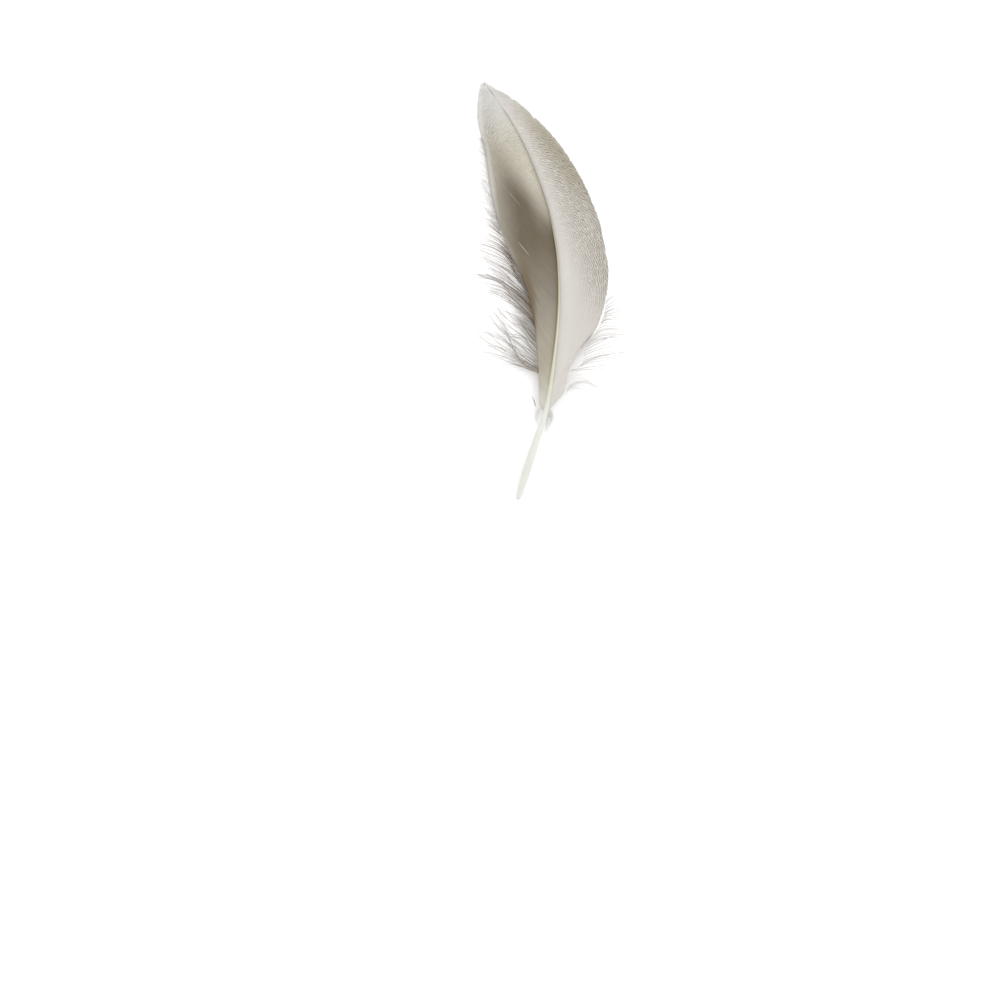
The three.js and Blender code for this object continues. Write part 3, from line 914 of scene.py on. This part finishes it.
looseGroups = [
    {  # pale fuzz along the tip's margin
        "fuzz": True, "count": 44, "seed": 30, "width": 0.028, "dark": (0, 0),
        "stray": 0.03, "sway": 0.25, "barbules": 6, "barbuleLength": 0.16, "fine": 0.007, "shorten": 0.4,
        "guides": [
            [(-13.2, 38.2), (-13.4, 38.4), (-13.5, 38.7), (-13.7, 38.9), (-13.9, 39.1)],
            [(-13.5, 35.2), (-13.7, 35.5), (-14, 35.8), (-14.2, 36.1), (-14.5, 36.5)],
            [(-13.5, 32.3), (-13.8, 32.7), (-14, 33), (-14.3, 33.4), (-14.6, 33.8)],
            [(-12.9, 29.4), (-13.2, 29.8), (-13.6, 30.2), (-13.9, 30.5), (-14.3, 30.9)],
        ],
    },
    {  # soft fuzz along the upper margin
        "fuzz": True, "count": 150, "seed": 20, "width": 0.036, "dark": (0.2, 0.2),
        "stray": 0.03, "sway": 0.24, "barbules": 5, "barbuleLength": 0.22, "fine": 0.009, "shorten": 0.4,
        "guides": [
            [(-12.5, 28.4), (-13, 28.9), (-13.5, 29.4), (-13.9, 29.9), (-14.4, 30.4)],
            [(-12, 25.6), (-12.6, 26.2), (-13.2, 26.8), (-13.8, 27.4), (-14.4, 28)],
            [(-11.5, 22.2), (-12.2, 22.9), (-12.9, 23.6), (-13.6, 24.3), (-14.3, 25)],
            [(-11, 18.7), (-11.8, 19.5), (-12.6, 20.3), (-13.4, 21.1), (-14.2, 21.9)],
            [(-10.3, 15.4), (-11.2, 16.3), (-12.1, 17.1), (-13, 18), (-14, 18.9)],
            [(-9.6, 12.7), (-10.6, 13.7), (-11.6, 14.6), (-12.7, 15.6), (-13.8, 16.5)],
            [(-8.9, 10.7), (-10, 11.8), (-11.1, 12.8), (-12.3, 13.8), (-13.6, 14.8)],
        ],
    },
    {  # small tuft at the very tip
        "fuzz": True, "count": 16, "seed": 28, "width": 0.035, "dark": (0, 0),
        "stray": 0.04, "sway": 0.15, "barbules": 8, "barbuleLength": 0.2, "fine": 0.008, "shorten": 0.3,
        "guides": [
            [(-13.1, 38), (-13.2, 38.3), (-13.3, 38.7), (-13.4, 39), (-13.5, 39.3)],
            [(-12.9, 38.8), (-13, 39), (-13, 39.2), (-13.1, 39.4), (-13.1, 39.6)],
            [(-12.4, 38.9), (-12.4, 39.1), (-12.5, 39.3), (-12.5, 39.45), (-12.5, 39.6)],
        ],
    },
    {  # fine straight hairs in an open fan below the fuzz
        "count": 22, "seed": 21, "width": 0.1, "dark": (0.95, 0.7), "stray": 0.008,
        "barbules": 4, "barbuleLength": 0.1, "fine": 0.007, "shorten": 0.09,
        "guides": [
            [(-9.6, 11.4), (-10.2, 12), (-10.8, 12.7), (-11.3, 13.3), (-11.9, 13.9)],
            [(-8.9, 9.7), (-9.7, 10.4), (-10.6, 11.1), (-11.5, 11.7), (-12.5, 12.3)],
            [(-7.7, 7), (-8.7, 8.1), (-9.6, 9), (-10.9, 9.8), (-12.5, 10.6)],
            [(-7.3, 5.7), (-8.4, 7.1), (-9.6, 8.1), (-11.1, 8.9), (-13.2, 9.7)],
            [(-6.6, 3.5), (-7.9, 5.4), (-9.5, 6.7), (-11.5, 7.7), (-14, 8.5)],
            [(-6.2, 2.4), (-7.6, 3.8), (-9.3, 4.9), (-11.5, 6), (-14, 7.4)],
            [(-5.4, 1.2), (-7, 2.6), (-8.8, 4), (-10.9, 5.2), (-13.4, 6.3)],
        ],
    },
    {  # dark brush
        "count": 26, "seed": 22, "width": 0.115, "dark": (1.0, 0.75), "stray": 0.02,
        "barbules": 12, "barbuleLength": 0.2, "fine": 0.009, "shorten": 0.09,
        "guides": [
            [(-3.8, -1.8), (-5, -0.2), (-6.8, 1.5), (-9.4, 3.6), (-12.8, 5.5)],
            [(-3.3, -3.3), (-5.1, -1.4), (-7, 0.4), (-9.3, 2.1), (-13.4, 4.3)],
            [(-2.9, -4.5), (-5.3, -1.8), (-7.9, 0.2), (-10.8, 2.3), (-15, 3.5)],
            [(-2.8, -5.7), (-5.1, -3.3), (-7.4, -1.2), (-10, 0.8), (-13.8, 2.1)],
            [(-2.7, -7.4), (-4.3, -5), (-6.7, -3.1), (-9.1, -1.4), (-12.4, 0.2)],
        ],
    },
    {  # pale film under the brush
        "count": 22, "seed": 27, "width": 0.07, "dark": (0.7, 0.35), "stray": 0.04,
        "barbules": 30, "barbuleLength": 0.3, "fine": 0.009, "shorten": 0.2,
        "guides": [
            [(-2.7, -6.7), (-3.6, -5.5), (-4.6, -4.5), (-5.8, -3.8), (-7, -3.4)],
            [(-2.6, -8.1), (-3.6, -6.7), (-4.7, -5.6), (-5.8, -4.8), (-6.8, -4.3)],
            [(-2.5, -9.7), (-3.6, -8.1), (-4.8, -6.7), (-6, -5.7), (-7.2, -5)],
            [(-2.4, -11.6), (-3.6, -9.7), (-4.9, -8.1), (-6.2, -6.7), (-7.7, -5.7)],
        ],
    },
    {  # open, wavy fan at the bottom
        "count": 38, "seed": 23, "width": 0.09, "dark": (0.8, 0.6), "stray": 0.05,
        "barbules": 28, "barbuleLength": 0.26, "fine": 0.009, "shorten": 0.16,
        "guides": [
            [(-2.6, -9), (-4, -7.4), (-5.4, -5.7), (-6.8, -4.4), (-8.6, -2.9)],
            [(-2.4, -10.4), (-4.1, -8.6), (-5.8, -6.7), (-8.1, -5), (-11.7, -2.1)],
            [(-2.4, -12.3), (-4.1, -10.7), (-6, -8.8), (-8.9, -6.9), (-13.1, -3.6)],
            [(-2.3, -14.2), (-4.6, -12.3), (-7, -10.4), (-10, -8.3), (-13.8, -5.9)],
            [(-2.3, -15), (-4.8, -13.5), (-7.7, -11.6), (-10.8, -9.7), (-14.3, -7.4)],
            [(-2.2, -15.4), (-4.8, -14.5), (-7.7, -13.1), (-10.8, -10.9), (-15.3, -8.9)],
            [(-2.2, -15.9), (-4.1, -15.2), (-6.5, -14.5), (-8.6, -14), (-11.5, -13.5)],
        ],
    },
    {  # a few that curl up across the fan
        "count": 5, "seed": 29, "width": 0.085, "dark": (0.75, 0.55), "stray": 0.03,
        "barbules": 28, "barbuleLength": 0.26, "fine": 0.009, "shorten": 0.12,
        "guides": [
            [(-2.1, -14.7), (-4.8, -13.8), (-6.7, -11.9), (-7.9, -8.1), (-11.5, -2.9)],
            [(-2.1, -15.2), (-4.6, -14.4), (-6.5, -12.6), (-7.7, -9.7), (-10.5, -6.2)],
        ],
    },
    {  # hairs that hug the edge
        "count": 20, "seed": 24, "width": 0.1, "dark": (0.95, 0.75), "stray": 0.014,
        "barbules": 16, "barbuleLength": 0.18, "fine": 0.009, "shorten": 0.2,
        "guides": [
            [(-3, -3.6), (-3.9, -1.4), (-4.9, 0.5), (-6.1, 2.1), (-7.5, 3.8)],
            [(-4, -0.7), (-4.9, 1.1), (-6, 2.6), (-7.1, 4), (-8.4, 5.5)],
            [(-5.1, 2.1), (-5.9, 3.7), (-6.8, 5), (-7.9, 6.2), (-9.1, 7.4)],
            [(-6.2, 4.5), (-7.1, 5.7), (-8, 6.9), (-9.1, 7.8), (-10.3, 8.8)],
        ],
    },
    {  # stray hair beside the base
        "count": 2, "seed": 26, "width": 0.1, "dark": (0.95, 0.9), "stray": 0.01,
        "barbules": 4, "barbuleLength": 0.1, "fine": 0.007, "shorten": 0.02,
        "guides": [
            [(-2.8, -22.1), (-2.9, -21.6), (-3, -21.1), (-3.2, -20.7), (-3.4, -20.2)],
            [(-2.85, -22), (-2.95, -21.6), (-3.05, -21.1), (-3.25, -20.6), (-3.5, -20)],
        ],
    },
    {  # long faint wisps
        "count": 6, "seed": 25, "width": 0.05, "dark": (0.4, 0.15), "stray": 0.03,
        "barbules": 40, "barbuleLength": 0.4, "fine": 0.008, "shorten": 0.05,
        "guides": [
            [(-2.7, -14.2), (-6, -12.8), (-9.2, -12.3), (-12.4, -12.3), (-16.2, -12.6)],
            [(-2.2, -15.9), (-4.6, -15.3), (-7, -15.4), (-9.6, -15.9), (-12.4, -16.6)],
        ],
    },
]
sideGroups = [
    {  # hairs and down on the right
        "count": 30, "seed": 31, "width": 0.095, "dark": (0.4, 0.25), "stray": 0.02,
        "barbules": 30, "barbuleLength": 0.3, "fine": 0.006, "shorten": 0.05,
        "guides": [
            [(10.6, -2.3), (11, -1.7), (11.6, -1.2), (12.2, -0.9), (12.9, -0.8)],
            [(10.4, -4), (11, -3.5), (11.8, -3.1), (12.6, -3), (13.5, -3.3)],
            [(10, -5.5), (10.8, -4.9), (11.9, -4.6), (13, -4.6), (14.2, -4.8)],
            [(9.4, -6.7), (10.4, -6), (11.6, -5.9), (12.7, -5.8), (13.9, -5.5)],
            [(8.1, -9), (9.9, -7.8), (12, -7.6), (14.4, -7.9), (16.1, -6.8)],
            [(7.2, -10.4), (9, -9.4), (10.9, -9), (12.5, -8.7), (14, -9.3)],
            [(6.4, -11.7), (8.3, -10.6), (10.1, -9.7), (11.2, -9.1), (12.3, -8.6)],
            [(6.3, -13.3), (9.1, -12.4), (12, -11.8), (15, -11.1), (16.85, -9.6)],
            [(5.7, -14.4), (8, -13.3), (10.2, -12.7), (12, -12.7), (13.3, -13.1)],
            [(3.6, -15.5), (6.6, -15.2), (9.7, -15), (12.3, -14.2), (15.2, -13.3)],
        ],
    },
    {  # soft band near the shaft
        "count": 17, "seed": 32, "width": 0.045, "dark": (0.2, 0.05), "stray": 0.06,
        "barbules": 26, "barbuleLength": 0.5, "fine": 0.008, "shorten": 0.25,
        "guides": [
            [(3.4, -16.5), (4.7, -15.8), (6.3, -15.5), (8, -16), (9.5, -16.7)],
            [(3.4, -18.4), (4.9, -17.5), (6.8, -17.1), (8.5, -17.7), (10.1, -18.6)],
            [(3.2, -18.8), (5.7, -17.4), (8.5, -17.5), (11.2, -18.4), (13.4, -18.2)],
            [(3, -19.4), (4.5, -18.6), (6.3, -18.8), (7.8, -19.6), (9.1, -19.4)],
        ],
    },
]
tuftGroups = [
    {  # left of the shaft
        "count": 15, "seed": 41, "width": 0.035, "dark": (0, 0), "stray": 0.09,
        "barbules": 14, "barbuleLength": 0.45, "fine": 0.006, "shorten": 0.3,
        "guides": [
            [(-1.7, -22.2), (-2.2, -22.4), (-2.7, -23), (-3, -23.8), (-3, -24.7)],
            [(-1.8, -22.8), (-2.2, -23.3), (-2.5, -23.9), (-2.6, -24.7), (-2.6, -25.7)],
        ],
    },
    {  # right of the shaft
        "count": 44, "seed": 42, "width": 0.045, "dark": (0.05, 0.05), "stray": 0.09,
        "barbules": 20, "barbuleLength": 0.45, "fine": 0.007, "shorten": 0.35,
        "guides": [
            [(-0.6, -22.4), (-0.1, -22.8), (0.4, -23.3), (0.7, -23.9), (1.1, -24.6)],
            [(-0.8, -22.8), (-0.3, -23.4), (0.2, -24.1), (0.5, -24.9), (0.6, -25.7)],
            [(-1, -23.2), (-0.6, -23.9), (-0.3, -24.9), (-0.1, -25.8), (-0.2, -26.8)],
            [(-1.2, -23.6), (-0.9, -24.5), (-0.7, -25.7), (-0.7, -26.8), (-1, -27.9)],
        ],
    },
]


def startHeight(vane, places):
    # the height of the vane's edge, or of the shaft, that is nearest to each place
    if vane is None:
        spine = shaftCentre(np.linspace(0, shaftLength, shaftForm["tableSize"]))
    else:
        spine = underVane(asVane(vane), np.linspace(0, 1, 241), looseForm["edgeShare"])
        spine[:, 2] += looseForm["edgeHeight"]
    nearest = np.argmin(np.linalg.norm(places[:, None] - spine[None, :, :2], axis=-1), axis=1)
    return spine[nearest, 2]


def darkAt(group, share):
    start, end = group["dark"]
    return start + (end - start) * share


def growStrands(group, vane, form, shape, chance):
    count = group["count"]
    steps = form["steps"]
    unevenness = looseForm["unevenness"]
    turn = np.arange(count) + chance.uniform(-unevenness, unevenness, count)
    turn = np.clip(turn / (count - 1), 0, 1)
    guides = np.array(group["guides"], float)
    controls = smoothLine(guides.reshape(len(guides), -1))(turn).reshape(count, -1, 2)
    begin = controls[:, :1]
    shorter = np.abs(chance.normal(size=(count, 1, 1))) * group["shorten"]
    controls = begin + (controls - begin) * (1 - np.clip(shorter, 0, looseForm["mostShorter"]))
    reach = np.linalg.norm(controls[:, -1:] - begin, axis=-1, keepdims=True)
    places = np.linspace(0, 1, guides.shape[1])[None, :, None]
    controls = controls + chance.normal(size=controls.shape) * group["stray"] * reach * places
    if "sway" in group:
        controls = controls + chance.normal(size=(count, 1, 2)) * group["sway"] * reach * places**2
    t = np.linspace(0, 1, steps + 1)
    path = np.stack([smoothLine(strand)(t) for strand in controls])
    height = startHeight(vane, path[:, 0])[:, None] * (1 - t) ** form["fall"]
    lift = looseForm["lift"] * chance.uniform(0, 1, (count, 1)) * np.sin(math.pi * t)
    centre = np.concatenate((path, (height + lift + form["clear"])[..., None]), axis=-1)
    tangent = unit(np.gradient(centre, axis=1))
    across = toTheRight(tangent)
    up = np.cross(across, tangent)

    taper = 1 - looseForm["taper"] * t**2
    radius = group["width"] / 2 * taper * chance.uniform(*looseForm["widths"], (count, 1))
    local = readPoints(shape)
    index = np.rint(local[:, 1] * steps).astype(int)
    points = centre[:, index] + across[:, index] * (radius[:, index] * local[:, 0])[..., None]
    points = points + up[:, index] * (radius[:, index] * local[:, 2])[..., None]
    points[..., 2] = np.maximum(points[..., 2], looseForm["lowest"])
    tone = np.clip(0.5 + looseForm["toneChance"] * chance.normal(size=(count, 1)), 0, 1)
    fields = {
        "dark": darkAt(group, local[:, 1]),
        "toTip": local[:, 1] ** 2,
        "chance": tone,
    }
    return (shape, points, fields, {}), (centre, tangent, across, up), tone


def growBarbules(group, steps, courses, tone, chance):
    # short spikes along both sides of each strand
    count = group["count"]
    rows = group["barbules"]
    place = (np.arange(rows) + chance.uniform(0, 1, (count, rows))) / rows
    place = np.clip(place, barbuleForm["from"], barbuleForm["to"])
    low = np.minimum((place * steps).astype(int), steps - 1)
    part = (place * steps - low)[..., None]
    each = np.arange(count)[:, None]
    base, forward, sideOf, upOf = (
        course[each, low] * (1 - part) + course[each, low + 1] * part for course in courses
    )
    hand = np.where(np.arange(rows) % 2 == 0, 1, -1)[None, :, None]
    spread = chance.uniform(*barbuleForm["spread"], (count, rows, 1))
    raised = upOf * chance.normal(size=(count, rows, 1)) * barbuleForm["raise"]
    direction = unit(forward * np.cos(spread) + sideOf * hand * np.sin(spread) + raised)
    span = group["barbuleLength"] * chance.uniform(*barbuleForm["lengths"], (count, rows, 1))
    span = span * (1 - barbuleForm["tipShorter"] * place[..., None] ** 2)
    flat = unit(np.cross(direction, (0.0, 0.0, 1.0)))
    steep = np.cross(flat, direction)

    spike = readPoints(spikeShape)
    ring = flat[:, :, None] * spike[:, 0:1] + steep[:, :, None] * spike[:, 2:3]
    points = base[:, :, None] + direction[:, :, None] * spike[:, 1:2] * span[:, :, None]
    points = (points + ring * group["fine"]).reshape(count * rows, len(spike), 3)
    points[..., 2] = np.maximum(points[..., 2], barbuleForm["lowest"])
    place = place.reshape(-1, 1)
    fields = {
        "dark": darkAt(group, place) * (1 - barbuleForm["paler"] * spike[:, 1]),
        "toTip": np.clip(place**2 + barbuleForm["tipLight"] * spike[:, 1], 0, 1),
        "chance": np.repeat(tone, rows, axis=0),
    }
    return (spikeShape, points, fields, {})


def growGroup(group, vane):
    chance = np.random.default_rng(group["seed"])
    shape, form = (fuzzShape, fuzzForm) if group.get("fuzz") else (strandShape, strandForm)
    strands, courses, tone = growStrands(group, vane, form, shape, chance)
    return [strands, growBarbules(group, form["steps"], courses, tone, chance)]


def makeDown(name, groups, vane, material):
    # the groups start on this vane, or on the shaft where there is none
    parts = [part for group in groups for part in growGroup(group, vane)]
    finishPiece(name, parts, material)


makeDown("looseBarbs", looseGroups, narrowVane, makeDownMaterial("brownDown"))
makeDown("sideDown", sideGroups, broadVane, makeDownMaterial("paleDown"))
makeDown("baseTufts", tuftGroups, None, makeDownMaterial("greyDown"))
print("down")
